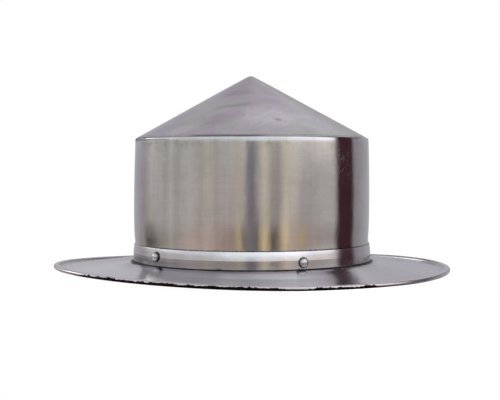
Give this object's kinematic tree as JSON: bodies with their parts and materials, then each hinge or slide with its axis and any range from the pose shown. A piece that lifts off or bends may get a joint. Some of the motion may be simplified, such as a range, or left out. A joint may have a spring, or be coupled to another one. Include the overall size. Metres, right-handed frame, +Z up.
{
  "type": "kettle hat war helmet",
  "caption": "Open steel kettle hat (chapel de fer): straight-walled oval crown with a pointed conical top, riveted on a wide round brim with a rolled rim.",
  "frame": {"origin": "middle of the brim, on the surface the hat rests on", "axes": "+Z up through the point of the crown; the front of the hat, which the picture shows, faces -Y; +X is to the right in the picture"},
  "size_m": [0.358, 0.358, 0.1784],
  "materials": {
    "cone_steel": "satin polish with faint lilac and green tarnish",
    "drum_steel": "bright satin polish, faint upright streaks, straw and violet heat tints near the collar",
    "brim_steel": "satin polish, dark scale left in the crease and under the rolled rim",
    "rivet_steel": "dull polish with a dark edge"
  },
  "bodies": {
    "root": {"crown_cone": "cone_steel", "crown_drum": "drum_steel", "brim": "brim_steel", "rivet_1": "rivet_steel", "rivet_2": "rivet_steel", "rivet_3": "rivet_steel", "rivet_4": "rivet_steel", "rivet_5": "rivet_steel"}
  },
  "joints": []
}
